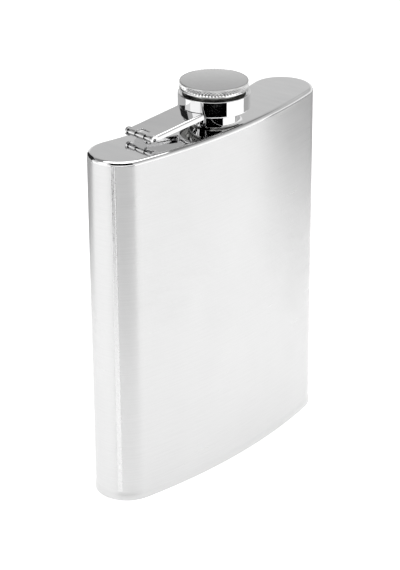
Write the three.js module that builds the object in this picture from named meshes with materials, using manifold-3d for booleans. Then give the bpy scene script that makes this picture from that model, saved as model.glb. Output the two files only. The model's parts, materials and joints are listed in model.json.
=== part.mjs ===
// A curved pocket flask in stainless steel, with a knurled screw cap held captive on a hinged arm.
// Millimetres, +Z up. The origin is on the neck's axis, on the plane that the flask stands on.
// +X runs along the width, away from the hinge, and the convex front faces -Y.
import * as THREE from "three";
import { mergeVertices } from "three/addons/utils/BufferGeometryUtils.js";
import Module from "manifold-3d";

const wasm = await Module();
wasm.setup();

// ---- Driving dimensions ----

// Body: a bent oval section, with its centre line on a circle behind the flask.
const bodyWidth = 95;
const bodyDepth = 19.9;
const bodyHeight = 111.7;
const bendRadius = 185.3;
const wallThickness = 0.5;
const plateThickness = 0.7;
const topRimRadius = 1.3;
const baseRimHeight = 3;
const baseRimProud = 0.2;
const baseRimRadius = 0.35;
const baseRimStep = 1.8;
const skirtHeight = 2;
const skirtClearance = 0.05;

// Side seam, where the edges of the rolled wall meet, turned round the hinge end from -X towards the front.
const seamTurn = THREE.MathUtils.degToRad(29);
const seamWidth = 1.6;
const seamClearance = 0.02;
const beadProud = 0.05;

// Neck: heights above the top plate.
const neckRadius = 7.8;
const neckBore = 6;
const neckShoulder = 4.9;
const neckHeight = 8.9;
const neckDrop = 1;
const neckClearance = 0.05;
const neckWeldWidth = 0.75;
const neckWeldHeight = 0.8;
const threadStep = 0.4;
const threadPitch = 1.8;
const mouthChamfer = 0.6;

// Hinge: the arm points from the hinge to the neck's axis.
const armTurn = THREE.MathUtils.degToRad(-6.7);
const hingeDistance = 29.2;
const hingeHeight = 2.33;
const knuckleRadius = 1;
const bracketKnuckleLength = 3.7;
const knuckleGap = 0.25;
const bracketThickness = 1;
const footWidth = 5.2;
const footHeight = 0.9;
const pinRadius = 0.5;
const pinClearance = 0.06;
const pinRecess = 1.1;

// Arm: a folded channel that climbs from the hinge to the collar.
const armWidth = 11.8;
const armThickness = 0.6;
const armFold = 0.6;
const armFlangeHeight = 1.45;
const armFlangeDeepening = 0.5;
const armClimb = THREE.MathUtils.degToRad(7);
const lugRadius = 1.4;
const lugThickness = 0.8;
const notchDepth = 2.2;
const joinGap = 0.3;

// Cap and collar: heights above the top plate.
const collarBottom = 4.2;
const collarWall = 0.6;
const collarBottomRound = 0.45;
const collarTopRound = 0.15;
const lipHeight = 0.3;
const lipDepth = 0.6;
const insertBottom = 4.9;
const insertWall = 1.3;
const insertRim = 0.9;
const insertRimHeight = 0.6;
const swingClearance = 0.2;
const lipClearance = 0.3;
const rimClearance = 0.2;
const headRadius = 10.5;
const headHeight = 2.55;
const headDome = 0.2;
const headSheet = 0.6;
const headRound = 0.2;
const roofThickness = 0.5;
const plugClearance = 0.1;
const gasketThickness = 0.8;
const gasketClearance = 0.1;
const gasketEdgeClearance = 0.4;
const unscrewTurns = 1.5;
const liftClearance = 0.1;

// Facets
const sideSteps = 12;
const endSteps = 16;
const roundSteps = 4;
const turnedSteps = 48;
const pinSteps = 16;

// ---- Worked-out sizes ----

const endX = (bodyWidth - bodyDepth) / 2;
const halfBend = Math.asin(endX / bendRadius);
const endY = bendRadius * (1 - Math.cos(halfBend));
const seamAngle = Math.PI + seamTurn;
const wallTop = bodyHeight - topRimRadius;
const skirtInset = wallThickness + skirtClearance;
const armHalfWidth = armWidth / 2;
const threadRadius = neckRadius - threadStep;
// The cap lifts inside the collar until its thread lets go, just before its rim meets the collar's lip.
const capLift = threadPitch * unscrewTurns;
const lipBottom = insertBottom + insertRimHeight + capLift + liftClearance;
const collarTop = lipBottom + lipHeight + lipDepth;
// The cap's bore has to clear the threaded neck as the arm swings, whether or not the cap is lifted.
const crestTop = neckHeight - mouthChamfer;
const swingReach = Math.hypot(hingeDistance + threadRadius, crestTop - hingeHeight);
const insertBore =
  Math.sqrt(swingReach ** 2 - (insertBottom - hingeHeight) ** 2) - hingeDistance + swingClearance;
const insertRadius = insertBore + insertWall;
const insertRimRadius = insertRadius + insertRim;
const collarRadius = insertRimRadius + rimClearance + collarWall;
const insertRoof = neckHeight + 2 * gasketClearance + gasketThickness;
const headBottom = insertRoof + roofThickness;
const headTop = headBottom + headHeight;
const plugTop = headTop - headDome - headSheet;

// ---- Helpers ----

// Points along an arc, from its start up to but not including its end.
function arc(x, y, radius, from, to, steps) {
  return Array.from({ length: steps }, (_, i) => {
    const angle = from + ((to - from) * i) / steps;
    return new THREE.Vector2(x + radius * Math.cos(angle), y + radius * Math.sin(angle));
  });
}

// The body's outline, drawn in by `inset`, counter-clockwise from the seam. With a gap, it stops that
// far short of itself, as the rolled wall does.
function outline(inset, gap = 0) {
  const radius = bodyDepth / 2 - inset;
  const half = gap / bodyDepth;
  const front = -Math.PI / 2;
  const seamSteps = Math.round(endSteps / 2);
  const line = [
    ...arc(-endX, endY, radius, seamAngle + half, 2 * Math.PI + front - halfBend, seamSteps),
    ...arc(0, bendRadius, bendRadius + radius, front - halfBend, front + halfBend, sideSteps),
    ...arc(endX, endY, radius, front + halfBend, front + halfBend + Math.PI, endSteps),
    ...arc(0, bendRadius, bendRadius - radius, front + halfBend, front - halfBend, sideSteps),
    ...arc(-endX, endY, radius, Math.PI + front - halfBend, seamAngle - half, endSteps),
  ];
  if (gap > 0) line.push(...arc(-endX, endY, radius, seamAngle - half, seamAngle - half, 1));
  return line;
}

// A plate shaped like the body's outline. The profile gives [inset, height] from the edge of its
// underside, round its rim, to the edge of its upper side.
function outlinePlate(profile) {
  const rings = profile.map(([inset, z]) => outline(inset).map((p) => [p.x, p.y, z]));
  const count = rings[0].length;
  const last = (rings.length - 1) * count;
  const index = [];
  for (let ring = 0; ring < last; ring += count)
    for (let i = 0; i < count; i++) {
      const a = ring + i;
      const b = ring + ((i + 1) % count);
      index.push(a, b, a + count, b, b + count, a + count);
    }
  const [lower, upper] = [profile[0][0], profile.at(-1)[0]].map((inset) =>
    THREE.ShapeUtils.triangulateShape(outline(inset), []),
  );
  for (const [a, b, c] of lower) index.push(a, c, b);
  for (const [a, b, c] of upper) index.push(last + a, last + b, last + c);
  return new THREE.BufferGeometry()
    .setAttribute("position", new THREE.Float32BufferAttribute(rings.flat(2), 3))
    .setIndex(index);
}

// A turned solid about +Z, from a closed profile of [radius, height] that runs counter-clockwise.
function turned(profile, steps = turnedSteps) {
  const points = [...profile, profile[0]].map(([r, z]) => new THREE.Vector2(r, z));
  return new THREE.LatheGeometry(points, steps).rotateX(Math.PI / 2);
}

// A quarter-round corner of a turned profile, about (r, z), from one angle to the next in quarter turns.
function corner(r, z, radius, quarter) {
  return Array.from({ length: roundSteps + 1 }, (_, i) => {
    const angle = ((quarter + i / roundSteps) * Math.PI) / 2;
    return [r + radius * Math.cos(angle), z + radius * Math.sin(angle)];
  });
}

// A cylinder along Y, centred at y.
function barrel(radius, length, y = 0, steps = 2 * pinSteps) {
  return new THREE.CylinderGeometry(radius, radius, length, steps).translate(0, y, 0);
}

function solid(geometry) {
  const bare = geometry.clone();
  for (const name of Object.keys(bare.attributes)) if (name !== "position") bare.deleteAttribute(name);
  const merged = mergeVertices(bare, 1e-4);
  return new wasm.Manifold(
    new wasm.Mesh({
      numProp: 3,
      vertProperties: merged.attributes.position.array,
      triVerts: new Uint32Array(merged.index.array),
    }),
  );
}

function geometryOf(manifold) {
  const mesh = manifold.getMesh();
  return new THREE.BufferGeometry()
    .setAttribute("position", new THREE.Float32BufferAttribute(mesh.vertProperties, 3))
    .setIndex([...mesh.triVerts]);
}

function finish(color, roughness, metalness = 1) {
  return new THREE.MeshStandardMaterial({ color, roughness, metalness, side: THREE.FrontSide });
}

const brushedSteel = () => finish(0xc9c9c9, 0.38);
const polishedSteel = () => finish(0xd2d3d4, 0.08);
const satinSteel = () => finish(0xb4b4b4, 0.3);
const sealRubber = () => finish(0xe6e4de, 0.7, 0);

function part(name, geometry, material) {
  geometry.deleteAttribute("uv");
  geometry.computeVertexNormals();
  const mesh = new THREE.Mesh(geometry, material);
  mesh.name = name;
  return mesh;
}

// ---- Body ----

// The wall is one sheet rolled round the outline, open along the seam. Its edges stand square to the
// wall, so the seam narrows inwards, and it is the inner side that clears the weld.
function bodyWall() {
  const gap = ((seamWidth + 2 * seamClearance) * bodyDepth) / (bodyDepth - 2 * wallThickness);
  const shape = new THREE.Shape([...outline(0, gap), ...outline(wallThickness, gap).reverse()]);
  const geometry = new THREE.ExtrudeGeometry(shape, {
    depth: wallTop - baseRimHeight,
    bevelEnabled: false,
  });
  return part("body_wall", geometry.translate(0, 0, baseRimHeight), brushedSteel());
}

// The weld bead fills the seam and stands a little proud of the wall.
function seamWeld() {
  const outer = bodyDepth / 2;
  const half = seamWidth / 2;
  const shape = new THREE.Shape();
  shape.moveTo(outer - wallThickness, -half);
  shape.lineTo(outer, -half);
  shape.quadraticCurveTo(outer + 2 * beadProud, 0, outer, half);
  shape.lineTo(outer - wallThickness, half);
  const geometry = new THREE.ExtrudeGeometry(shape, {
    depth: wallTop - baseRimHeight,
    bevelEnabled: false,
    curveSegments: roundSteps,
  });
  const mesh = part("side_seam_weld", geometry, brushedSteel());
  mesh.rotation.z = seamAngle;
  mesh.position.set(-endX, endY, baseRimHeight);
  return mesh;
}

// The top plate is dished over the wall's end: a rounded rim, a skirt inside the wall, a hole for the neck.
function topPlate() {
  const rim = corner(0, 0, topRimRadius, 0).map(([x, z]) => [topRimRadius - x, wallTop + z]);
  const profile = [
    [skirtInset + plateThickness, bodyHeight - plateThickness],
    [skirtInset + plateThickness, wallTop - skirtHeight],
    [skirtInset, wallTop - skirtHeight],
    [skirtInset, wallTop],
    ...rim,
  ];
  const holeBottom = bodyHeight - plateThickness - neckDrop - neckClearance;
  const hole = turned([
    [0, holeBottom],
    [neckRadius + neckClearance, holeBottom],
    [neckRadius + neckClearance, bodyHeight + plateThickness],
    [0, bodyHeight + plateThickness],
  ]);
  const cut = solid(outlinePlate(profile)).subtract(solid(hole));
  return part("top_plate", geometryOf(cut), polishedSteel());
}

// The base plate has a rim that is slightly proud of the wall, and a skirt inside it.
function basePlate() {
  const low = corner(0, 0, baseRimRadius, 3).map(([x, z]) => [
    baseRimRadius - baseRimProud - x,
    baseRimRadius + z,
  ]);
  const profile = [
    ...low,
    [-baseRimProud, baseRimHeight - baseRimStep],
    [0, baseRimHeight],
    [skirtInset, baseRimHeight],
    [skirtInset, baseRimHeight + skirtHeight],
    [skirtInset + plateThickness, baseRimHeight + skirtHeight],
    [skirtInset + plateThickness, plateThickness],
  ];
  return part("base_plate", outlinePlate(profile), brushedSteel());
}

// ---- Neck ----

// The neck passes through the top plate. Its upper part, above the shoulder, carries the thread.
function neck() {
  const profile = [
    [neckBore, -plateThickness - neckDrop],
    [neckRadius, -plateThickness - neckDrop],
    [neckRadius, neckShoulder],
    [threadRadius, neckShoulder],
    [threadRadius, neckHeight - mouthChamfer],
    [threadRadius - mouthChamfer, neckHeight],
    [neckBore, neckHeight],
  ];
  return part("threaded_neck", turned(profile), polishedSteel());
}

function neckWeld() {
  const inner = neckRadius + neckClearance;
  const profile = [
    [inner, 0],
    [inner + neckWeldWidth, 0],
    [inner + neckWeldWidth / 3, neckWeldHeight / 3],
    [inner, neckWeldHeight],
  ];
  return part("neck_weld", turned(profile), polishedSteel());
}

// ---- Hinge, in a frame with its axis along Y at the origin ----

// The bracket stands on the top plate: a foot, a web and a barrel for the pin.
function hingeBracket() {
  const halfFoot = footWidth / 2;
  const halfWeb = bracketKnuckleLength / 2;
  const web = new THREE.Shape([
    new THREE.Vector2(-halfFoot, -hingeHeight),
    new THREE.Vector2(halfFoot, -hingeHeight),
    new THREE.Vector2(halfFoot, -hingeHeight + footHeight / 2),
    new THREE.Vector2(halfWeb, -hingeHeight + footHeight),
    new THREE.Vector2(halfWeb, 0),
    new THREE.Vector2(-halfWeb, 0),
    new THREE.Vector2(-halfWeb, -hingeHeight + footHeight),
    new THREE.Vector2(-halfFoot, -hingeHeight + footHeight / 2),
  ]);
  const sheet = new THREE.ExtrudeGeometry(web, { depth: bracketThickness, bevelEnabled: false })
    .translate(0, 0, -bracketThickness / 2)
    .applyMatrix4(acrossToX);
  const made = solid(sheet)
    .add(solid(barrel(knuckleRadius, bracketKnuckleLength)))
    .subtract(solid(barrel(pinRadius + pinClearance, 2 * footWidth)));
  return part("hinge_bracket", geometryOf(made), polishedSteel());
}

function hingePin() {
  return part("hinge_pin", barrel(pinRadius, armWidth - 2 * pinRecess), satinSteel());
}

// Turns a shape drawn across (x) and up (y), and extruded, so that it is extruded along +X.
const acrossToX = new THREE.Matrix4().makeBasis(
  new THREE.Vector3(0, 1, 0),
  new THREE.Vector3(0, 0, 1),
  new THREE.Vector3(1, 0, 0),
);

// The channel's section: a flat web, tangent to the knuckles' tops, with a flange folded down each side.
function channelSection() {
  const low = knuckleRadius - armFlangeHeight;
  const under = knuckleRadius - armThickness;
  const inner = armHalfWidth - armThickness;
  const shape = new THREE.Shape();
  shape.moveTo(-armHalfWidth, low);
  shape.lineTo(-inner, low);
  shape.lineTo(-inner, under);
  shape.lineTo(inner, under);
  shape.lineTo(inner, low);
  shape.lineTo(armHalfWidth, low);
  shape.absarc(armHalfWidth - armFold, knuckleRadius - armFold, armFold, 0, Math.PI / 2, false);
  shape.absarc(armFold - armHalfWidth, knuckleRadius - armFold, armFold, Math.PI / 2, Math.PI, false);
  return shape;
}

// The arm: the channel, a knuckle and a pierced lug on each side of the bracket, a notch over the
// bracket's barrel, and an end cut round to meet the collar.
function captiveArm() {
  const channel = new THREE.ExtrudeGeometry(channelSection(), {
    depth: hingeDistance,
    bevelEnabled: false,
    curveSegments: roundSteps,
  }).applyMatrix4(acrossToX);
  deepenFlanges(channel);
  const notchHalf = bracketKnuckleLength / 2 + knuckleGap;
  const notch = new THREE.BoxGeometry(2 * notchDepth, 2 * notchHalf, 4 * knuckleRadius);
  let made = solid(channel).subtract(solid(notch));
  const knuckleLength = armHalfWidth - notchHalf;
  for (const side of [-1, 1]) {
    made = made
      .add(solid(barrel(knuckleRadius, knuckleLength, side * (notchHalf + knuckleLength / 2))))
      .add(solid(barrel(lugRadius, lugThickness, side * (armHalfWidth - lugThickness / 2))));
  }
  made = made.subtract(solid(barrel(pinRadius + pinClearance, 2 * armWidth)));
  const climbed = geometryOf(made).rotateY(-armClimb);
  const collarSpace = new THREE.CylinderGeometry(
    collarRadius + joinGap,
    collarRadius + joinGap,
    hingeDistance,
    2 * turnedSteps,
  )
    .rotateX(Math.PI / 2)
    .translate(hingeDistance, 0, 0);
  return part("captive_arm", geometryOf(solid(climbed).subtract(solid(collarSpace))), polishedSteel());
}

// The flanges grow deeper towards the collar.
function deepenFlanges(channel) {
  const points = channel.attributes.position;
  for (let i = 0; i < points.count; i += 1)
    if (points.getZ(i) < 0)
      points.setZ(i, points.getZ(i) - (armFlangeDeepening * points.getX(i)) / hingeDistance);
}

// ---- Collar and cap, with heights above the top plate ----

// The collar is a ring open below, with a thin lip that reaches in over the cap's rim.
function capCollar() {
  const inner = collarRadius - collarWall;
  const lipRadius = insertRadius + lipClearance;
  const profile = [
    [inner, collarBottom],
    ...corner(collarRadius - collarBottomRound, collarBottom + collarBottomRound, collarBottomRound, 3),
    ...corner(collarRadius - collarTopRound, collarTop - collarTopRound, collarTopRound, 0),
    [inner, collarTop],
    [inner, lipBottom + lipHeight],
    [lipRadius, lipBottom + lipHeight],
    [lipRadius, lipBottom],
    [inner, lipBottom],
  ];
  return part("cap_collar", turned(profile), polishedSteel());
}

// The insert screws onto the neck. Its rim is caught under the collar's lip, and its plug fills the head.
function threadedInsert() {
  const plugBottom = headBottom + headSheet;
  const plugRadius = headRadius - headSheet - plugClearance;
  const profile = [
    [insertBore, insertBottom],
    [insertRimRadius, insertBottom],
    [insertRimRadius, insertBottom + insertRimHeight],
    [insertRadius, insertBottom + insertRimHeight],
    [insertRadius, plugBottom],
    [plugRadius, plugBottom],
    [plugRadius, plugTop],
    [0, plugTop],
    [0, insertRoof],
    [insertBore, insertRoof],
  ];
  return part("threaded_insert", turned(profile), satinSteel());
}

// The drawn head, slightly domed, and rolled in under the plug.
function capHead() {
  const inner = headRadius - headSheet;
  const rolled = insertRadius + plugClearance;
  const profile = [
    [rolled, headBottom],
    ...corner(headRadius - headRound, headBottom + headRound, headRound, 3),
    ...corner(headRadius - headRound, headTop - headDome - headRound, headRound, 0),
    [headRadius / 2, headTop - headDome / 4],
    [0, headTop],
    [0, plugTop],
    [inner, plugTop],
    [inner, headBottom + headSheet],
    [rolled, headBottom + headSheet],
  ];
  return part("cap_head", turned(profile), satinSteel());
}

function capGasket() {
  const bottom = neckHeight + gasketClearance;
  const radius = insertBore - gasketEdgeClearance;
  const profile = [
    [0, bottom],
    [radius, bottom],
    [radius, bottom + gasketThickness],
    [0, bottom + gasketThickness],
  ];
  return part("cap_gasket", turned(profile), sealRubber());
}

// ---- Assembly ----

const flask = new THREE.Group();
flask.add(bodyWall(), seamWeld(), topPlate(), basePlate());

const top = new THREE.Group();
top.position.z = bodyHeight;
top.rotation.z = armTurn;
top.add(neck(), neckWeld(), capCollar(), threadedInsert(), capHead(), capGasket());

const hinge = new THREE.Group();
hinge.position.set(-hingeDistance, 0, hingeHeight);
hinge.add(hingeBracket(), hingePin(), captiveArm());
top.add(hinge);
flask.add(top);

export default flask;
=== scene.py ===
"""A curved stainless steel hip flask: brushed wall, polished top, knurled screw cap on a hinged arm.

Lengths are in metres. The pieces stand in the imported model's frame: +Z up the neck's axis, +X away
from the hinge, the convex front facing -Y.
"""
import json
import math

import bpy
from mathutils import Matrix, Vector


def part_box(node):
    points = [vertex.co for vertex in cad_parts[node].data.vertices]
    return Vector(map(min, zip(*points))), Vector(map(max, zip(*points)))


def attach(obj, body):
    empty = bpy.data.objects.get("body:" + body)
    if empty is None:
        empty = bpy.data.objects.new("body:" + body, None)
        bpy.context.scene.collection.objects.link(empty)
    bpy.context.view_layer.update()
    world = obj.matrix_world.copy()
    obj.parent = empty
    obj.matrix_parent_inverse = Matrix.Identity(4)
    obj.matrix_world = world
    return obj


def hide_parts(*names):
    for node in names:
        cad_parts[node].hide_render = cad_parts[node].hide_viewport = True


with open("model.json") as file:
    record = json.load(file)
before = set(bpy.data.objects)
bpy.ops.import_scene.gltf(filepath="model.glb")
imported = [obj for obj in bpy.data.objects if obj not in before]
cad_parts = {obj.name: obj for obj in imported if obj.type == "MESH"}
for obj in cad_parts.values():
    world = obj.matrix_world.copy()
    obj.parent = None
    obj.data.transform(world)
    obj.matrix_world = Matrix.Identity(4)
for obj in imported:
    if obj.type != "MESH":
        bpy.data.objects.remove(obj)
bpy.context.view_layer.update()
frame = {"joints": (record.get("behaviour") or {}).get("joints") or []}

MM = 0.001
JOINTS = {joint["name"]: joint for joint in frame["joints"]}

# ---- Sizes from the frame ----

wall_low, wall_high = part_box("body_wall")
plate_low, plate_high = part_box("top_plate")
base_low, base_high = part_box("base_plate")
neck_low, neck_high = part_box("threaded_neck")
weld_low, weld_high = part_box("neck_weld")
collar_low, collar_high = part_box("cap_collar")
head_low, head_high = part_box("cap_head")
insert_low, insert_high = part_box("threaded_insert")
gasket_low, gasket_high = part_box("cap_gasket")
bead_low, bead_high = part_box("side_seam_weld")

DEPTH = -2 * wall_low.y
BEND_RADIUS = 185.3 * MM
TOP = plate_high.z
RIM = TOP - wall_high.z
END_X = wall_high.x - DEPTH / 2
HALF_BEND = math.asin(END_X / BEND_RADIUS)
END_Y = BEND_RADIUS * (1 - math.cos(HALF_BEND))
UP = (0, 0, 1)

hinge_point = Vector(JOINTS["arm_hinge"]["pos_m"])
hinge_across = -Vector(JOINTS["arm_hinge"]["axis"])
hinge_along = hinge_across.cross(Vector(UP))
HINGE = Matrix.Translation(hinge_point) @ Matrix(
    (hinge_along, hinge_across, Vector(UP))
).transposed().to_4x4()
HINGE_REACH = math.hypot(hinge_point.x, hinge_point.y)
AXLE_HEIGHT = hinge_point.z - TOP

# Finishing sizes
END_STEPS = 48
SIDE_STEPS = 64
TURNED_STEPS = 128
SHEET = 0.5 * MM
PLATE_SHEET = 0.7 * MM
SMOOTH_ANGLE = math.radians(35)


# ---- Modelling helpers ----


def add(primitive, name, scale=(1, 1, 1), **size):
    """Adds a primitive at its size and place, with its place in its mesh, and opens it for editing."""
    if bpy.context.mode != "OBJECT":
        bpy.ops.object.mode_set(mode="OBJECT")
    bpy.ops.object.select_all(action="DESELECT")
    primitive(**size)
    piece = bpy.context.object
    piece.name = name
    piece.scale = scale
    bpy.ops.object.transform_apply(location=True, rotation=True, scale=True)
    bpy.ops.object.mode_set(mode="EDIT")
    return piece


def pick(kind, test):
    """Selects, in the open mesh, just the vertices, edges or faces whose points all pass the test."""
    piece = bpy.context.object
    bpy.ops.mesh.select_mode(type=kind)
    bpy.ops.mesh.select_all(action="DESELECT")
    bpy.ops.object.mode_set(mode="OBJECT")
    mesh = piece.data
    inside = [test(vertex.co) for vertex in mesh.vertices]
    if kind == "VERT":
        for vertex in mesh.vertices:
            vertex.select = inside[vertex.index]
    else:
        for item in mesh.edges if kind == "EDGE" else mesh.polygons:
            item.select = all(inside[i] for i in item.vertices)
    bpy.ops.object.mode_set(mode="EDIT")


def pick_level(kind, height, slack=0.01 * MM):
    pick(kind, lambda p: abs(p.z - height) < slack)


def pick_ring(kind, radius, height, slack=0.02 * MM):
    pick(kind, lambda p: abs(p.z - height) < slack and abs(math.hypot(p.x, p.y) - radius) < slack)


def extrude(x=0, y=0, z=0):
    bpy.ops.mesh.extrude_region_move(TRANSFORM_OT_translate={"value": (x, y, z)})


def round_edges(width, segments=4):
    bpy.ops.mesh.bevel(offset=width, segments=segments, affect="EDGES", clamp_overlap=False)


def spin(angle, steps, centre):
    """Carries the selection anticlockwise round a vertical axis, leaving faces or edges behind."""
    bpy.ops.mesh.spin(steps=steps, angle=-angle, center=centre, axis=UP)


def merge_doubles():
    bpy.ops.mesh.select_all(action="SELECT")
    bpy.ops.mesh.remove_doubles(threshold=0.001 * MM)


def face_outwards():
    bpy.ops.mesh.select_all(action="SELECT")
    bpy.ops.mesh.normals_make_consistent(inside=False)


def modify(piece, kind, **settings):
    """Adds a modifier and applies it."""
    bpy.ops.object.mode_set(mode="OBJECT")
    modifier = piece.modifiers.new(kind.title(), kind)
    for name, value in settings.items():
        setattr(modifier, name, value)
    bpy.ops.object.modifier_apply(modifier=modifier.name)


def cut(piece, tool, operation="DIFFERENCE"):
    """Cuts the tool out of the piece, or joins it on, and removes the tool."""
    bpy.ops.object.mode_set(mode="OBJECT")
    bpy.context.view_layer.objects.active = piece
    modify(piece, "BOOLEAN", object=tool, operation=operation, solver="EXACT")
    bpy.data.objects.remove(tool)


def join(piece, tool):
    cut(piece, tool, "UNION")


def close(piece):
    """Leaves edit mode with rounded edges shaded smooth and flat faces kept flat."""
    if piece.mode == "EDIT":
        bpy.ops.object.mode_set(mode="OBJECT")
    bpy.ops.object.select_all(action="DESELECT")
    piece.select_set(True)
    bpy.context.view_layer.objects.active = piece
    bpy.ops.object.shade_smooth_by_angle(angle=SMOOTH_ANGLE)
    modify(piece, "WEIGHTED_NORMAL", weight=80, keep_sharp=True)
    return piece


def place_on_hinge(piece):
    """Carries a piece modelled about the hinge's axis to where the hinge is."""
    close(piece)
    piece.matrix_world = HINGE
    bpy.ops.object.transform_apply(location=True, rotation=True, scale=True)
    return piece


def finish_piece(piece, body, slot, material, *nodes):
    """Gives a piece its finish and body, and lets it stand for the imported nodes."""
    piece.data.materials.clear()
    piece.data.materials.append(material)
    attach(piece, body)
    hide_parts(*nodes)


def bent_oval(name, inset, height):
    """The body's outline as one flat face: half a circle at the hinge end, carried round the bend,
    round the far end and back."""
    radius = DEPTH / 2 - inset
    middle = Vector((-END_X, END_Y, height))
    piece = add(
        bpy.ops.mesh.primitive_circle_add,
        name,
        vertices=2 * END_STEPS,
        radius=radius,
        location=middle,
        rotation=(0, 0, -HALF_BEND),
    )
    inward = Vector((math.cos(HALF_BEND), -math.sin(HALF_BEND), 0))
    pick("VERT", lambda p: (p - middle).dot(inward) > 0.1 * MM)
    bpy.ops.mesh.delete(type="VERT")
    front = middle + radius * Vector((-math.sin(HALF_BEND), -math.cos(HALF_BEND), 0))
    pick("VERT", lambda p: (p - front).length < 0.01 * MM)
    bend = (0, BEND_RADIUS, height)
    spin(2 * HALF_BEND, SIDE_STEPS, bend)
    spin(math.pi, END_STEPS, (END_X, END_Y, height))
    spin(-2 * HALF_BEND, SIDE_STEPS, bend)
    merge_doubles()
    bpy.ops.mesh.edge_face_add()
    return piece


def turned(name, profile, steps=TURNED_STEPS, closed=True):
    """A ring turned about the neck's axis, extruded from one circle to the next of the profile,
    which lists [radius, height]."""
    radius, height = profile[0]
    piece = add(
        bpy.ops.mesh.primitive_circle_add, name, vertices=steps, radius=radius, location=(0, 0, height)
    )
    bpy.ops.mesh.select_all(action="SELECT")
    for new_radius, new_height in profile[1:]:
        extrude(z=new_height - height)
        bpy.ops.transform.resize(
            value=(new_radius / radius, new_radius / radius, 1), center_override=(0, 0, new_height)
        )
        radius, height = new_radius, new_height
    if closed:
        last = profile[-1]
        first = profile[0]
        pick(
            "EDGE",
            lambda p: any(
                abs(math.hypot(p.x, p.y) - r) < 0.005 * MM and abs(p.z - z) < 0.005 * MM
                for r, z in (first, last)
            ),
        )
        bpy.ops.mesh.bridge_edge_loops()
    face_outwards()
    return piece


# ---- Material helpers ----


def new_material(name, colour, roughness, metallic=1.0, anisotropy=0.0):
    """A material, metal unless told otherwise. Returns the material, its nodes and its links."""
    material = bpy.data.materials.new(name)
    material.use_nodes = True
    nodes = material.node_tree.nodes
    shader = nodes["Principled BSDF"]
    shader.inputs["Base Color"].default_value = (*colour, 1)
    shader.inputs["Metallic"].default_value = metallic
    shader.inputs["Roughness"].default_value = roughness
    shader.inputs["Anisotropic"].default_value = anisotropy
    return material, nodes, material.node_tree.links


def stretched_noise(nodes, links, stretch, scale, detail=3.0):
    """Noise over the piece, longer along the axes with a small stretch value."""
    place = nodes.new("ShaderNodeTexCoord")
    mapping = nodes.new("ShaderNodeMapping")
    mapping.inputs["Scale"].default_value = stretch
    noise = nodes.new("ShaderNodeTexNoise")
    noise.inputs["Scale"].default_value = scale
    noise.inputs["Detail"].default_value = detail
    links.new(place.outputs["Object"], mapping.inputs["Vector"])
    links.new(mapping.outputs["Vector"], noise.inputs["Vector"])
    return noise.outputs["Fac"]


def to_range(nodes, links, value, low, high, start=0.0, end=1.0):
    ramp = nodes.new("ShaderNodeMapRange")
    ramp.inputs["From Min"].default_value = start
    ramp.inputs["From Max"].default_value = end
    ramp.inputs["To Min"].default_value = low
    ramp.inputs["To Max"].default_value = high
    links.new(value, ramp.inputs["Value"])
    return ramp.outputs["Result"]


def tint(nodes, links, value, dark, light):
    """The shader's colour, from dark to light as the value rises."""
    ramp = nodes.new("ShaderNodeValToRGB")
    ramp.color_ramp.elements[0].position = 0.3
    ramp.color_ramp.elements[0].color = (*dark, 1)
    ramp.color_ramp.elements[1].position = 0.7
    ramp.color_ramp.elements[1].color = (*light, 1)
    links.new(value, ramp.inputs["Fac"])
    links.new(ramp.outputs["Color"], nodes["Principled BSDF"].inputs["Base Color"])


def emboss(nodes, links, value, height):
    """Bump of that height in metres."""
    bump = nodes.new("ShaderNodeBump")
    bump.inputs["Distance"].default_value = height
    links.new(value, bump.inputs["Height"])
    links.new(bump.outputs["Normal"], nodes["Principled BSDF"].inputs["Normal"])
    return bump


def brushed_steel():
    """Long fine brush lines running level round the wall, with slow cloudiness in their strength."""
    material, nodes, links = new_material("brushed steel", (0.7, 0.7, 0.7), 0.34, anisotropy=0.75)
    shader = nodes["Principled BSDF"]
    shader.inputs["Anisotropic Rotation"].default_value = 0.25
    tangent = nodes.new("ShaderNodeTangent")
    tangent.direction_type = "RADIAL"
    tangent.axis = "Z"
    links.new(tangent.outputs["Tangent"], shader.inputs["Tangent"])
    lines = stretched_noise(nodes, links, (0.035, 0.035, 1), 2600, 4)
    clouds = stretched_noise(nodes, links, (1, 1, 0.6), 60, 2)
    mixed = nodes.new("ShaderNodeMath")
    mixed.operation = "MULTIPLY_ADD"
    mixed.inputs[1].default_value = 0.3
    links.new(clouds, mixed.inputs[0])
    links.new(lines, mixed.inputs[2])
    roughness = to_range(nodes, links, mixed.outputs["Value"], 0.26, 0.44, 0.35, 0.95)
    links.new(roughness, shader.inputs["Roughness"])
    tint(nodes, links, lines, (0.68, 0.68, 0.68), (0.72, 0.72, 0.72))
    emboss(nodes, links, lines, 0.001 * MM)
    return material


def weld_steel():
    """The dressed seam weld, a little grainier than the wall beside it."""
    material, nodes, links = new_material("seam weld steel", (0.72, 0.72, 0.72), 0.3)
    grain = stretched_noise(nodes, links, (1, 1, 0.5), 1800, 3)
    roughness = to_range(nodes, links, grain, 0.24, 0.38, 0.3, 0.7)
    links.new(roughness, nodes["Principled BSDF"].inputs["Roughness"])
    tint(nodes, links, grain, (0.66, 0.66, 0.66), (0.76, 0.76, 0.76))
    emboss(nodes, links, grain, 0.006 * MM)
    return material


def polished_steel():
    """Mirror-bright steel with the faintest swirl of polishing wheels and a few hairlines."""
    material, nodes, links = new_material("polished steel", (0.8, 0.8, 0.8), 0.05)
    haze = stretched_noise(nodes, links, (1, 0.2, 1), 350, 3)
    roughness = to_range(nodes, links, haze, 0.02, 0.06, 0.35, 0.75)
    links.new(roughness, nodes["Principled BSDF"].inputs["Roughness"])
    tint(nodes, links, haze, (0.79, 0.79, 0.795), (0.83, 0.83, 0.83))
    waves = stretched_noise(nodes, links, (1, 1, 1), 90, 1)
    emboss(nodes, links, waves, 0.006 * MM)
    return material


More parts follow.
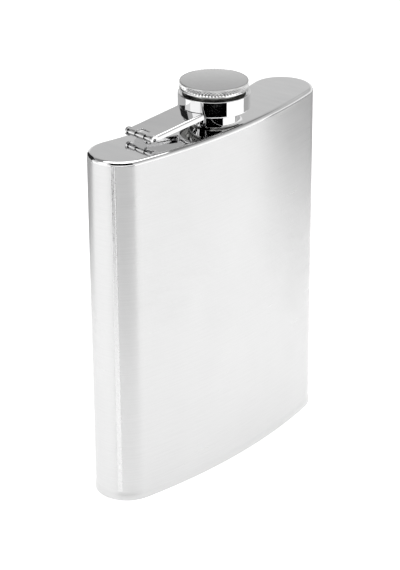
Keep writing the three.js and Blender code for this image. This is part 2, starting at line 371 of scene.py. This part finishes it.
def satin_steel():
    """The cap: a satin top with fine turned lines round the axis, and a brighter polished side."""
    material, nodes, links = new_material("satin steel", (0.74, 0.74, 0.74), 0.14)
    place = nodes.new("ShaderNodeTexCoord")
    rings = nodes.new("ShaderNodeTexWave")
    rings.wave_type = "RINGS"
    rings.rings_direction = "Z"
    rings.inputs["Scale"].default_value = 1400
    rings.inputs["Distortion"].default_value = 1.5
    rings.inputs["Detail"].default_value = 2
    links.new(place.outputs["Object"], rings.inputs["Vector"])
    split = nodes.new("ShaderNodeSeparateXYZ")
    links.new(place.outputs["Object"], split.inputs["Vector"])
    edge = head_high.z - 0.32 * MM
    top = to_range(nodes, links, split.outputs["Z"], 0, 1, edge, edge + 0.08 * MM)
    satin = to_range(nodes, links, rings.outputs["Fac"], 0.12, 0.2)
    blend = nodes.new("ShaderNodeMix")
    blend.inputs["A"].default_value = 0.06
    links.new(top, blend.inputs["Factor"])
    links.new(satin, blend.inputs["B"])
    links.new(blend.outputs["Result"], nodes["Principled BSDF"].inputs["Roughness"])
    grain = stretched_noise(nodes, links, (1, 1, 1), 900, 2)
    shade = nodes.new("ShaderNodeMix")
    shade.data_type = "RGBA"
    shade.inputs["A"].default_value = (0.86, 0.86, 0.86, 1)
    shade.inputs["B"].default_value = (0.68, 0.68, 0.68, 1)
    links.new(top, shade.inputs["Factor"])
    tint(nodes, links, grain, (0.95, 0.95, 0.95), (1, 1, 1))
    speckle = nodes.new("ShaderNodeMix")
    speckle.data_type = "RGBA"
    speckle.blend_type = "MULTIPLY"
    speckle.inputs["Factor"].default_value = 1
    links.new(nodes["Color Ramp"].outputs["Color"], speckle.inputs["A"])
    links.new(shade.outputs["Result"], speckle.inputs["B"])
    links.new(speckle.outputs["Result"], nodes["Principled BSDF"].inputs["Base Color"])
    emboss(nodes, links, rings.outputs["Fac"], 0.001 * MM)
    return material


def pin_steel():
    """The hinge pin: cut wire, a shade darker, with drawing lines along it."""
    material, nodes, links = new_material("drawn wire steel", (0.5, 0.5, 0.5), 0.3)
    lines = stretched_noise(nodes, links, (1, 0.1, 1), 3000, 2)
    links.new(to_range(nodes, links, lines, 0.22, 0.42), nodes["Principled BSDF"].inputs["Roughness"])
    tint(nodes, links, lines, (0.42, 0.42, 0.42), (0.6, 0.6, 0.6))
    emboss(nodes, links, lines, 0.004 * MM)
    return material


def painted_shade_insert_steel():
    """The cap's threaded insert: turned, and darker than the outside: its colour is painted shade for the
    dark gap under the cap's head.
    """
    # Painted shade: a base colour of 0.26 darkens the insert where it shows between the collar and the
    # head.
    material, nodes, links = new_material("turned steel in painted shade", (0.26, 0.26, 0.25), 0.16)
    lines = stretched_noise(nodes, links, (0.05, 0.05, 1), 2400, 2)
    links.new(to_range(nodes, links, lines, 0.08, 0.2), nodes["Principled BSDF"].inputs["Roughness"])
    # Painted shade: the tint keeps the insert dark, with the turned lines as small random changes in tone.
    tint(nodes, links, lines, (0.23, 0.23, 0.22), (0.3, 0.3, 0.29))
    emboss(nodes, links, lines, 0.005 * MM)
    return material


def gasket_plastic():
    """Pale pressed plastic with a slightly orange-peel skin."""
    material, nodes, links = new_material("gasket plastic", (0.78, 0.77, 0.73), 0.5, metallic=0)
    grain = stretched_noise(nodes, links, (1, 1, 1), 1500, 4)
    links.new(to_range(nodes, links, grain, 0.42, 0.62), nodes["Principled BSDF"].inputs["Roughness"])
    tint(nodes, links, grain, (0.74, 0.73, 0.68), (0.83, 0.82, 0.79))
    emboss(nodes, links, grain, 0.02 * MM)
    return material


# ---- Body ----


def body_wall(steel):
    """One sheet rolled round the outline, open along the seam."""
    piece = bent_oval("wall_sheet", 0, wall_low.z)
    bpy.ops.mesh.select_all(action="SELECT")
    bpy.ops.mesh.delete(type="ONLY_FACE")
    bpy.ops.mesh.select_all(action="SELECT")
    extrude(z=wall_high.z - wall_low.z)
    face_outwards()
    modify(piece, "SOLIDIFY", thickness=SHEET, offset=-1, use_even_offset=True)
    cut(piece, seam_slot())
    close(piece)
    finish_piece(piece, "flask", "brushed_wall", steel, "body_wall")


SEAM_ANGLE = math.radians(209)
SEAM_WIDTH = 1.6 * MM
SEAM_POINT = Vector((-END_X, END_Y, 0)) + DEPTH / 2 * Vector(
    (math.cos(SEAM_ANGLE), math.sin(SEAM_ANGLE), 0)
)


def seam_slot():
    slot = add(
        bpy.ops.mesh.primitive_cube_add,
        "seam_slot",
        size=1,
        scale=(4 * SHEET, SEAM_WIDTH + 0.04 * MM, 2 * wall_high.z),
        location=SEAM_POINT,
        rotation=(0, 0, SEAM_ANGLE),
    )
    return slot


def side_seam_weld(steel):
    """The strip in the seam: a bright line, and a rippled ridge of weld repeated up the wall."""
    count = 190
    pitch = (bead_high.z - bead_low.z) / count
    outward = Vector((math.cos(SEAM_ANGLE), math.sin(SEAM_ANGLE), 0))
    across = Vector((-outward.y, outward.x, 0))
    middle = bead_low.z + pitch / 2
    piece = add(
        bpy.ops.mesh.primitive_cube_add,
        "seam_bead",
        size=1,
        scale=(SHEET, SEAM_WIDTH, pitch),
        location=SEAM_POINT - SHEET / 2 * outward + Vector((0, 0, middle)),
        rotation=(0, 0, SEAM_ANGLE),
    )
    pick("FACE", lambda p: (p - SEAM_POINT).dot(outward) > -0.01 * MM)
    bpy.ops.mesh.subdivide(number_cuts=7)

    def raise_line(place, height, low=0.0, high=0.51):
        pick(
            "VERT",
            lambda p: (p - SEAM_POINT).dot(outward) > -0.1 * MM
            and abs((p - SEAM_POINT).dot(across) - place) < 0.05 * MM
            and low * pitch <= abs(p.z - middle) <= high * pitch,
        )
        bpy.ops.transform.translate(value=height * outward)

    raise_line(-0.6 * MM, 0.03 * MM)
    raise_line(0.4 * MM, -0.03 * MM)
    raise_line(0.6 * MM, 0.045 * MM)
    raise_line(0.6 * MM, -0.03 * MM, 0.3)
    raise_line(0.8 * MM, -0.05 * MM)
    raise_line(-0.8 * MM, -0.04 * MM)
    pick("FACE", lambda p: abs(abs(p.z - middle) - pitch / 2) < 0.01 * MM)
    bpy.ops.mesh.delete(type="ONLY_FACE")
    modify(
        piece,
        "ARRAY",
        count=count,
        use_relative_offset=False,
        use_constant_offset=True,
        constant_offset_displace=(0, 0, pitch),
        use_merge_vertices=True,
        merge_threshold=0.01 * MM,
    )
    bpy.ops.object.mode_set(mode="EDIT")
    merge_doubles()
    bpy.ops.mesh.fill_holes(sides=0)
    face_outwards()
    close(piece)
    finish_piece(piece, "flask", "weld", steel, "side_seam_weld")


def top_plate(steel):
    """The plate, dished over the wall's end with a rounded rim, and bored for the neck."""
    level = TOP - RIM
    piece = bent_oval("top_cover", 0, level)
    bpy.ops.mesh.select_all(action="SELECT")
    extrude(z=RIM)
    face_outwards()
    round_top_rim()
    pick_level("FACE", level)
    bpy.ops.mesh.inset(thickness=SHEET + 0.05 * MM)
    extrude(z=-2 * MM)
    bpy.ops.mesh.inset(thickness=PLATE_SHEET)
    extrude(z=2 * MM + RIM - PLATE_SHEET)
    face_outwards()
    neck_hole = add(
        bpy.ops.mesh.primitive_cylinder_add,
        "neck_hole",
        vertices=TURNED_STEPS,
        radius=7.8 * MM,
        depth=6 * PLATE_SHEET,
        location=(0, 0, TOP),
    )
    cut(piece, neck_hole)
    close(piece)
    finish_piece(piece, "flask", "polished_top", steel, "top_plate")


def round_top_rim():
    """Rounds the plate's top edge down to the wall, inside a narrow border that keeps it flat."""
    pick_level("EDGE", TOP)
    round_edges(RIM - 0.1 * MM, 10)
    pick_level("FACE", TOP)
    bpy.ops.mesh.inset(thickness=0.15 * MM)


def base_plate(steel):
    """The base: its rim swells out a little from the wall, and a skirt stands inside the wall."""
    proud = 0.2 * MM
    rim = wall_low.z
    swell = 1.2 * MM
    piece = bent_oval("base_cover", -proud, 0)
    bpy.ops.mesh.select_all(action="SELECT")
    extrude(z=swell)
    face_outwards()
    pick_level("FACE", swell)
    for share in (0.08, 0.22, 0.3, 0.26, 0.14):
        bpy.ops.mesh.inset(thickness=share * proud, depth=(rim - swell) / 5)
    bpy.ops.mesh.inset(thickness=SHEET + 0.05 * MM)
    extrude(z=2 * MM)
    bpy.ops.mesh.inset(thickness=PLATE_SHEET)
    extrude(z=PLATE_SHEET - rim - 2 * MM)
    pick_level("EDGE", 0)
    round_edges(0.35 * MM, 5)
    face_outwards()
    close(piece)
    finish_piece(piece, "flask", "brushed_wall", steel, "base_plate")


# ---- Neck ----


def threaded_neck(steel):
    """The drawn neck, with its mouth rounded over and a rolled thread above the shoulder."""
    bore = 6 * MM
    root = 6.85 * MM
    shoulder = TOP + 4.9 * MM
    mouth = neck_high.z
    profile = [
        (bore, neck_low.z),
        (7.8 * MM, neck_low.z),
        (7.8 * MM, shoulder - 0.35 * MM),
        (7.7 * MM, shoulder - 0.12 * MM),
        (7.45 * MM, shoulder),
        (root + 0.1 * MM, shoulder),
        (root, shoulder + 0.1 * MM),
        (root, mouth - 0.5 * MM),
        (root - 0.15 * MM, mouth - 0.15 * MM),
        (root - 0.42 * MM, mouth),
        (bore + 0.15 * MM, mouth),
        (bore, mouth - 0.15 * MM),
    ]
    piece = turned("neck_tube", profile)
    ridge = thread("neck_thread", root - 0.1 * MM, 7.4 * MM, shoulder + 0.45 * MM, 1.25)
    join_meshes(piece, ridge)
    finish_piece(piece, "flask", "polished_fitting", steel, "threaded_neck")


def thread(name, root, crest, start, turns, pitch=1.8 * MM):
    """A helical ridge from the root to the crest radius, rising from the start height, which fades
    into the root at both ends."""
    side = 1 if crest > root else -1
    wide = 0.5 * MM
    piece = add(
        bpy.ops.mesh.primitive_plane_add,
        name,
        size=1,
        scale=(abs(crest - root), 2 * wide, 1),
        location=((root + crest) / 2, 0, start),
        rotation=(math.pi / 2, 0, 0),
    )
    bpy.ops.mesh.select_all(action="SELECT")
    bpy.ops.mesh.delete(type="ONLY_FACE")
    pick("VERT", lambda p: abs(p.x - crest) < 0.01 * MM)
    bpy.ops.transform.resize(value=(1, 1, 0.3), center_override=(crest, 0, start))
    steps = round(TURNED_STEPS * turns)
    modify(
        piece,
        "SCREW",
        axis="Z",
        angle=2 * math.pi * turns,
        screw_offset=pitch * turns,
        steps=steps,
        render_steps=steps,
        use_merge_vertices=False,
    )
    bpy.ops.object.mode_set(mode="EDIT")
    merge_doubles()
    bpy.ops.mesh.select_mode(type="EDGE")
    bpy.ops.mesh.select_all(action="DESELECT")
    bpy.ops.mesh.select_non_manifold()
    bpy.ops.mesh.edge_face_add()
    fade = 8
    for i in range(fade):
        depth = (crest - root) * (1 - i / fade) ** 2
        start_turn = 2 * math.pi * turns * i / steps
        end_turn = 2 * math.pi * turns - start_turn
        for turn, near in ((start_turn, start), (end_turn, start + pitch * turns)):
            out = Vector((math.cos(turn), math.sin(turn), 0))
            beside = Vector((-out.y, out.x, 0))
            pick(
                "VERT",
                lambda p: abs(p.dot(beside)) < 0.01 * MM
                and p.dot(out) * side > (root + 0.5 * (crest - root)) * side
                and p.dot(out) > 0
                and abs(p.z - near) < 0.6 * MM,
            )
            bpy.ops.transform.translate(value=-depth * out)
    face_outwards()
    bpy.ops.object.mode_set(mode="OBJECT")
    return piece


def join_meshes(piece, *others):
    """Makes one mesh of several, without cutting them."""
    if piece.mode == "EDIT":
        bpy.ops.object.mode_set(mode="OBJECT")
    bpy.ops.object.select_all(action="DESELECT")
    for other in others:
        other.select_set(True)
    piece.select_set(True)
    bpy.context.view_layer.objects.active = piece
    bpy.ops.object.join()
    close(piece)


def neck_weld(steel):
    """The fillet where the neck meets the plate, faintly rippled."""
    inner = 7.84 * MM
    profile = [
        (inner, TOP),
        (inner + 0.75 * MM, TOP),
        (inner + 0.5 * MM, TOP + 0.1 * MM),
        (inner + 0.25 * MM, TOP + 0.27 * MM),
        (inner + 0.1 * MM, TOP + 0.5 * MM),
        (inner, TOP + 0.8 * MM),
    ]
    piece = turned("neck_fillet", profile)
    ripple = lambda p: round(math.atan2(p.y, p.x) / (2 * math.pi) * TURNED_STEPS) % 4 == 0
    pick("VERT", lambda p: ripple(p) and p.z > TOP + 0.05 * MM and p.z < TOP + 0.6 * MM)
    bpy.ops.transform.resize(value=(1.006, 1.006, 1), center_override=(0, 0, TOP))
    close(piece)
    finish_piece(piece, "flask", "weld", steel, "neck_weld")


# ---- Hinge, modelled about its axis: X along the arm, Y across it ----


def barrel(name, radius, length, y=0, steps=48):
    return add(
        bpy.ops.mesh.primitive_cylinder_add,
        name,
        vertices=steps,
        radius=radius,
        depth=length,
        location=(0, y, 0),
        rotation=(math.pi / 2, 0, 0),
    )


def soften(piece, width, segments=3):
    """Breaks every sharp edge with a small round."""
    modify(
        piece,
        "BEVEL",
        width=width,
        segments=segments,
        limit_method="ANGLE",
        angle_limit=math.radians(40),
        use_clamp_overlap=True,
        harden_normals=False,
    )


PIN_HOLE = 0.56 * MM
KNUCKLE = 1 * MM
ARM_HALF = 5.9 * MM
NOTCH_HALF = 2.1 * MM


def hinge_bracket(steel):
    """A foot welded to the plate, a web, and a barrel rolled round the pin."""
    foot = -AXLE_HEIGHT
    piece = add(
        bpy.ops.mesh.primitive_cube_add,
        "bracket_leaf",
        size=1,
        scale=(1 * MM, 3.7 * MM, AXLE_HEIGHT),
        location=(0, 0, foot / 2),
    )
    for level in (foot + 0.45 * MM, foot + 0.9 * MM):
        bpy.ops.mesh.select_all(action="SELECT")
        bpy.ops.mesh.bisect(plane_co=(0, 0, level), plane_no=UP)
    pick("VERT", lambda p: p.z < foot + 0.5 * MM)
    bpy.ops.transform.resize(value=(1, 5.2 / 3.7, 1), center_override=(0, 0, foot))
    sheet = barrel("bracket_barrel", KNUCKLE, 3.7 * MM)
    join(piece, sheet)
    cut(piece, barrel("pin_hole", PIN_HOLE, 20 * MM))
    soften(piece, 0.08 * MM)
    place_on_hinge(piece)
    finish_piece(piece, "flask", "polished_fitting", steel, "hinge_bracket")


def hinge_pin(steel):
    """Drawn wire with broken ends, a little short of the lugs' faces."""
    length = 2 * (ARM_HALF - 1.1 * MM)
    piece = barrel("pin_wire", 0.5 * MM, length)
    pick("EDGE", lambda p: abs(abs(p.y) - length / 2) < 0.01 * MM)
    round_edges(0.12 * MM, 3)
    face_outwards()
    place_on_hinge(piece)
    finish_piece(piece, "arm", "pin", steel, "hinge_pin")


ARM_CLIMB = math.radians(7)
ARM_DEEPENING = 0.5 * MM
COLLAR_RADIUS = (collar_high.x - collar_low.x) / 2


def captive_arm(steel):
    """The arm: sheet folded into a channel and notched round the bracket, its end cut round to the
    collar, with a rolled knuckle and a pierced lug on each side."""
    sheet = 0.6 * MM
    flange = 1.45 * MM
    start = 0.03 * MM
    piece = add(
        bpy.ops.mesh.primitive_cube_add,
        "arm_channel",
        size=1,
        scale=(HINGE_REACH, 2 * ARM_HALF, flange),
        location=(HINGE_REACH / 2 + start, 0, KNUCKLE - flange / 2),
    )
    for end in (start, HINGE_REACH + start):
        pick("FACE", lambda p: abs(p.x - end) < 0.01 * MM)
        bpy.ops.mesh.delete(type="ONLY_FACE")
    pick("FACE", lambda p: abs(p.z - KNUCKLE + flange) < 0.01 * MM)
    bpy.ops.mesh.delete(type="ONLY_FACE")
    pick("VERT", lambda p: p.z < 0 and p.x > 1 * MM)
    bpy.ops.transform.translate(value=(0, 0, -ARM_DEEPENING))
    pick(
        "EDGE",
        lambda p: abs(p.z - KNUCKLE) < 0.01 * MM and abs(abs(p.y) - ARM_HALF) < 0.01 * MM,
    )
    drop_end_edges()
    round_edges(sheet + 0.15 * MM, 6)
    modify(piece, "SOLIDIFY", thickness=sheet, offset=-1, use_even_offset=True)
    cut(piece, notch_block())
    cut(piece, pin_space())
    climb_and_trim(piece)
    soften(piece, 0.06 * MM)
    inner = NOTCH_HALF
    length = ARM_HALF - inner - 0.2 * MM
    rolls = []
    for side in (-1, 1):
        rolls.append(pierced("knuckle", KNUCKLE, length, side * (inner + length / 2)))
        rolls.append(pierced("lug", 1.4 * MM, 0.8 * MM, side * (ARM_HALF - 0.37 * MM)))
    join_meshes(piece, *rolls)
    place_on_hinge(piece)
    finish_piece(piece, "arm", "polished_fitting", steel, "captive_arm")


def pin_space():
    """Clears the flanges round the pin, inside the lugs."""
    return add(
        bpy.ops.mesh.primitive_cube_add,
        "pin_space",
        size=1,
        scale=(1.5 * MM, 30 * MM, 2 * MM),
        location=(0, 0, -0.66 * MM),
    )


def pierced(name, radius, length, y):
    """A short barrel with the pin's hole through it and its edges broken."""
    roll = barrel(name, radius, length, y, 64)
    cut(roll, barrel("pin_hole", PIN_HOLE, 30 * MM))
    soften(roll, 0.08 * MM)
    return roll


def drop_end_edges():
    """Keeps only the selected edges that run along X."""
    piece = bpy.context.object
    bpy.ops.object.mode_set(mode="OBJECT")
    mesh = piece.data
    for edge in mesh.edges:
        start, end = (mesh.vertices[i].co for i in edge.vertices)
        edge.select = edge.select and abs(end.y - start.y) < 0.01 * MM
    bpy.ops.object.mode_set(mode="EDIT")


def notch_block():
    """The opening over the bracket's barrel, with rounded corners."""
    block = add(
        bpy.ops.mesh.primitive_cube_add,
        "notch",
        size=1,
        scale=(4.4 * MM, 2 * NOTCH_HALF, 4 * KNUCKLE),
        location=(0, 0, 0),
    )
    pick("EDGE", lambda p: abs(p.x - 2.2 * MM) < 0.01 * MM)
    keep_upright_edges()
    round_edges(0.6 * MM, 5)
    return block


def keep_upright_edges():
    piece = bpy.context.object
    bpy.ops.object.mode_set(mode="OBJECT")
    mesh = piece.data
    for edge in mesh.edges:
        start, end = (mesh.vertices[i].co for i in edge.vertices)
        edge.select = edge.select and abs(end.z - start.z) > 0.01 * MM
    bpy.ops.object.mode_set(mode="EDIT")


def climb_and_trim(piece):
    """Tilts the arm up about the hinge, then cuts its end round to the collar."""
    bpy.ops.object.select_all(action="DESELECT")
    piece.select_set(True)
    bpy.context.view_layer.objects.active = piece
    piece.rotation_euler = (0, -ARM_CLIMB, 0)
    bpy.ops.object.transform_apply(location=False, rotation=True, scale=False)
    trim = add(
        bpy.ops.mesh.primitive_cylinder_add,
        "collar_space",
        vertices=256,
        radius=COLLAR_RADIUS + 0.3 * MM,
        depth=HINGE_REACH,
        location=(HINGE_REACH, 0, 0),
    )
    cut(piece, trim)


# ---- Collar and cap, turned about the neck's axis; heights in mm above the plate ----


def rounded(r, z, radius, quarter, steps=6):
    """A quarter-round corner of a profile about (r, z) mm, from one angle to the next in quarter turns."""
    points = []
    for i in range(steps + 1):
        angle = (quarter + i / steps) * math.pi / 2
        points.append((r + radius * math.cos(angle), z + radius * math.sin(angle)))
    return points


def heights(profile):
    """A profile in mm above the plate, in metres above the floor."""
    return [(r * MM, TOP + z * MM) for r, z in profile]


COLLAR_TOP = 9.2


def cap_collar(steel):
    """The ring that carries the cap: rounded in below, with a thin rim above a retaining lip."""
    radius = COLLAR_RADIUS / MM
    inner = radius - 0.6
    lip = 9.59
    bottom = 4.2
    top = COLLAR_TOP
    profile = [
        (inner, bottom),
        *rounded(radius - 0.45, bottom + 0.45, 0.45, 3, 8)[1:],
        *rounded(radius - 0.15, top - 0.15, 0.15, 0, 4),
        *rounded(radius - 0.45, top - 0.15, 0.15, 1, 4),
        (inner, 8.75),
        (inner - 0.1, 8.6),
        (lip + 0.1, 8.6),
        (lip, 8.5),
        (lip, 8.4),
        (lip + 0.1, 8.3),
        (inner - 0.1, 8.3),
        (inner, 8.2),
    ]
    piece = turned("collar_ring", heights(profile), 192)
    close(piece)
    finish_piece(piece, "arm", "polished_fitting", steel, "cap_collar")


def cap_gasket(plastic):
    """The sealing disc inside the cap, with a raised ring that beds on the neck's mouth."""
    low = gasket_low.z
    high = gasket_high.z
    radius = (gasket_high.x - gasket_low.x) / 2
    piece = add(
        bpy.ops.mesh.primitive_cylinder_add,
        "sealing_disc",
        vertices=TURNED_STEPS,
        radius=radius,
        depth=high - low,
        location=(0, 0, (low + high) / 2),
    )
    pick_level("FACE", low)
    bpy.ops.mesh.inset(thickness=radius - 7 * MM)
    extrude(z=0.12 * MM)
    bpy.ops.mesh.inset(thickness=1.2 * MM)
    extrude(z=-0.12 * MM)
    bpy.ops.mesh.inset(thickness=0.3 * MM)
    pick("EDGE", lambda p: math.hypot(p.x, p.y) > radius - 0.01 * MM)
    soften(piece, 0.06 * MM, 2)
    close(piece)
    finish_piece(piece, "seal", "gasket", plastic, "cap_gasket")


INSERT_BORE = 7.99


def threaded_insert(steel):
    """The insert under the head: its rim below, its thread inside, and the plug that fills the head."""
    wall = (insert_high.x - insert_low.x) / 2 / MM
    root = INSERT_BORE + 0.6
    outer = INSERT_BORE + 1.3
    rim = outer + 0.9
    profile = [
        (0.4, 9.9),
        (root, 9.9),
        (root, 5.2),
        (root + 0.25, 4.9),
        (rim - 0.1, 4.9),
        (rim, 5.0),
        (rim, 5.4),
        (rim - 0.1, 5.5),
        (outer + 0.1, 5.5),
        (outer, 5.6),
        (outer, 11.0),
        (9.8, 11.0),
        (9.8, 12.2),
        (0.4, 12.2),
    ]
    piece = turned("insert_shell", heights(profile))
    pick(
        "EDGE",
        lambda p: math.hypot(p.x, p.y) < 0.41 * MM,
    )
    bpy.ops.mesh.merge(type="CENTER")
    ridge = thread(
        "insert_thread", (root + 0.1) * MM, INSERT_BORE * MM, TOP + 5.6 * MM, 1.6
    )
    join_meshes(piece, ridge)
    finish_piece(piece, "cap", "insert", steel, "threaded_insert")


HEAD_RADIUS = 10.5
DOME = 0.2
KNURLS = 64


def cap_head(steel):
    """The drawn head: slightly domed top, knurled diamonds round it, a smooth lip rolled in below."""
    low, high = 10.4, 12.95
    band_low, band_high = 10.85, 12.55
    groove = 0.34
    rows = 4
    profile = [
        (9.4, low + 0.15),
        (9.4, low),
        (9.9, low),
        *rounded(HEAD_RADIUS - 0.15, low + 0.15, 0.15, 3, 4),
        (HEAD_RADIUS, band_low - 0.1),
        *((HEAD_RADIUS, band_low + (band_high - band_low) * i / rows) for i in range(rows + 1)),
        (HEAD_RADIUS - 0.05, band_high + 0.06),
        *rounded(HEAD_RADIUS - 0.17, high - DOME - 0.12, 0.12, 0, 4),
        *((r, high - DOME * (r / HEAD_RADIUS) ** 2) for r in (9.9, 9, 8, 7, 6, 5, 4, 3, 2, 1)),
        (0.5, high),
    ]
    piece = turned("head_shell", heights(profile), 2 * KNURLS, closed=False)
    cut_knurls(band_low, band_high, rows, groove)
    pick_ring("EDGE", 0.5 * MM, TOP + high * MM)
    bpy.ops.mesh.edge_face_add()
    face_outwards()
    close(piece)
    modify(piece, "SOLIDIFY", thickness=0.35 * MM, offset=-1)
    close(piece)
    finish_piece(piece, "cap", "satin_cap", steel, "cap_head")


def cut_knurls(band_low, band_high, rows, groove):
    """Pushes in every other point of the band, creases the grooves between diamonds, and flattens
    the diamonds' tips."""
    step = (band_high - band_low) / rows

    def grid(p):
        turn = round(math.atan2(p.y, p.x) / math.pi * KNURLS)
        row = round(((p.z - TOP) / MM - band_low) / step)
        return turn, row

    def in_band(p):
        z = (p.z - TOP) / MM
        return band_low - 0.01 < z < band_high + 0.01 and math.hypot(p.x, p.y) > 9.95 * MM

    pick("VERT", lambda p: in_band(p) and sum(grid(p)) % 2 == 1)
    bpy.ops.transform.resize(
        value=(1 - groove / HEAD_RADIUS, 1 - groove / HEAD_RADIUS, 1), center_override=(0, 0, TOP)
    )
    bpy.ops.mesh.vert_connect()
    pick("VERT", lambda p: in_band(p) and sum(grid(p)) % 2 == 0 and 0 < grid(p)[1] < rows)
    bpy.ops.mesh.bevel(offset=0.16 * MM, affect="VERTICES", segments=1)


# ---- Stage ----


def stage():
    """A pale floor under a large overhead softbox, a graded grey room, and a few flags around."""
    floor = add(bpy.ops.mesh.primitive_plane_add, "floor", size=6, location=(0, 0, 0))
    bpy.ops.object.mode_set(mode="OBJECT")
    paper, nodes, links = new_material("studio paper", (0.9, 0.9, 0.9), 0.9, metallic=0)
    grain = stretched_noise(nodes, links, (1, 1, 1), 40, 4)
    tint(nodes, links, grain, (0.74, 0.74, 0.74), (0.76, 0.76, 0.76))
    nodes["Principled BSDF"].inputs["Emission Color"].default_value = (1, 1, 1, 1)
    nodes["Principled BSDF"].inputs["Emission Strength"].default_value = 0.64
    floor.data.materials.append(paper)
    room()
    softbox("overhead", (0.1, 0, 1.6), 1.9, 1.7, 19)
    flag("front_flag", (-0.285, -0.035), (-0.045, -0.265), 0, 0.05, 0.0)
    flag("camera_flag", (-0.345, -0.025), (-0.075, -0.325), 0.14, 0.6, 0.0)
    flag("side_card", (0.23, -0.15), (0.26, 0.09), 0, 0.09, 0.45)
    flag("side_flag", (0.245, -0.072), (0.25, -0.055), 0, 0.09, 0.02)
    flag("back_card", (-0.15, 0.25), (0.255, 0.09), 0, 0.10, 0.5)
    flag("back_flag", (-0.15, 0.25), (0.08, 0.25), 0.10, 0.3, 0.02)
    flag("left_fill", (-0.36, 0.28), (-0.42, 0.03), 0.12, 0.5, 1.3)


def room():
    """Bright near the floor, greyer above, where it meets the overhead softbox."""
    world = bpy.data.worlds.new("studio")
    bpy.context.scene.world = world
    world.use_nodes = True
    nodes = world.node_tree.nodes
    links = world.node_tree.links
    place = nodes.new("ShaderNodeTexCoord")
    split = nodes.new("ShaderNodeSeparateXYZ")
    ramp = nodes.new("ShaderNodeValToRGB")
    links.new(place.outputs["Generated"], split.inputs["Vector"])
    links.new(split.outputs["Z"], ramp.inputs["Fac"])
    links.new(ramp.outputs["Color"], nodes["Background"].inputs["Color"])
    first, last = ramp.color_ramp.elements
    first.position = 0.0
    first.color = (1, 1, 1, 1)
    last.position = 0.7
    last.color = (0.25, 0.25, 0.25, 1)
    for height, grey in ((0.2, 0.9), (0.3, 0.7), (0.38, 0.55), (0.46, 0.52), (0.56, 0.64), (0.63, 0.3)):
        ramp.color_ramp.elements.new(height).color = (grey, grey, grey, 1)


def softbox(name, centre, width, depth, power):
    """A level area light that shines down."""
    lamp = bpy.data.lights.new(name, "AREA")
    lamp.shape = "RECTANGLE"
    lamp.size = width
    lamp.size_y = depth
    lamp.energy = power
    body = bpy.data.objects.new(name, lamp)
    body.location = centre
    bpy.context.scene.collection.objects.link(body)


def flag(name, start, end, bottom, top, brightness):
    """An upright card over the line between two floor points, which only mirror reflections show."""
    start = Vector((*start, 0))
    end = Vector((*end, 0))
    along = end - start
    sheet = add(
        bpy.ops.mesh.primitive_plane_add,
        name,
        size=1,
        scale=(along.length, top - bottom, 1),
        location=(start + end) / 2 + Vector((0, 0, (bottom + top) / 2)),
        rotation=(math.pi / 2, 0, math.atan2(along.y, along.x)),
    )
    bpy.ops.object.mode_set(mode="OBJECT")
    surface = bpy.data.materials.new(name)
    surface.use_nodes = True
    nodes = surface.node_tree.nodes
    nodes.clear()
    glow = nodes.new("ShaderNodeEmission")
    glow.inputs["Color"].default_value = (brightness, brightness, brightness, 1)
    output = nodes.new("ShaderNodeOutputMaterial")
    surface.node_tree.links.new(glow.outputs["Emission"], output.inputs["Surface"])
    sheet.data.materials.append(surface)
    sheet.visible_camera = False
    sheet.visible_diffuse = False
    sheet.visible_shadow = False
    sheet.visible_transmission = False


SHIFT_X = -0.01544
SHIFT_Y = -0.00758


def camera():
    """Stands at the front, hinge end, a little above the cap."""
    azimuth = math.radians(-49.466)
    elevation = math.radians(24.236)
    roll = math.radians(-0.233)
    away = Vector(
        (
            math.sin(azimuth) * math.cos(elevation),
            -math.cos(azimuth) * math.cos(elevation),
            math.sin(elevation),
        )
    )
    level = Vector(UP).cross(away).normalized()
    upright = away.cross(level)
    right = level * math.cos(roll) + upright * math.sin(roll)
    top = upright * math.cos(roll) - level * math.sin(roll)
    place = Vector((0, 0, 0.060)) + 0.67267 * away - 1.776 * MM * right - 1.630 * MM * top
    lens = bpy.data.cameras.new("camera")
    lens.lens = 135.84
    lens.sensor_width = 36
    lens.shift_x = SHIFT_X
    lens.shift_y = SHIFT_Y
    body = bpy.data.objects.new("camera", lens)
    bpy.context.scene.collection.objects.link(body)
    body.matrix_world = Matrix.Translation(place) @ Matrix((right, top, away)).transposed().to_4x4()
    bpy.context.scene.camera = body


# ---- Assembly ----

bpy.context.scene.view_settings.view_transform = "Standard"
camera()
stage()

brushed = brushed_steel()
seam_metal = weld_steel()
polished = polished_steel()
satin = satin_steel()
wire = pin_steel()
# The insert's dark colour is painted shade for the gap under the cap's head.
shaded_insert_metal = painted_shade_insert_steel()
plastic = gasket_plastic()

body_wall(brushed)
side_seam_weld(seam_metal)
top_plate(polished)
base_plate(brushed)
threaded_neck(polished)
neck_weld(polished)
hinge_bracket(polished)
hinge_pin(wire)
captive_arm(polished)
cap_collar(polished)
cap_gasket(plastic)
threaded_insert(shaded_insert_metal)
cap_head(satin)
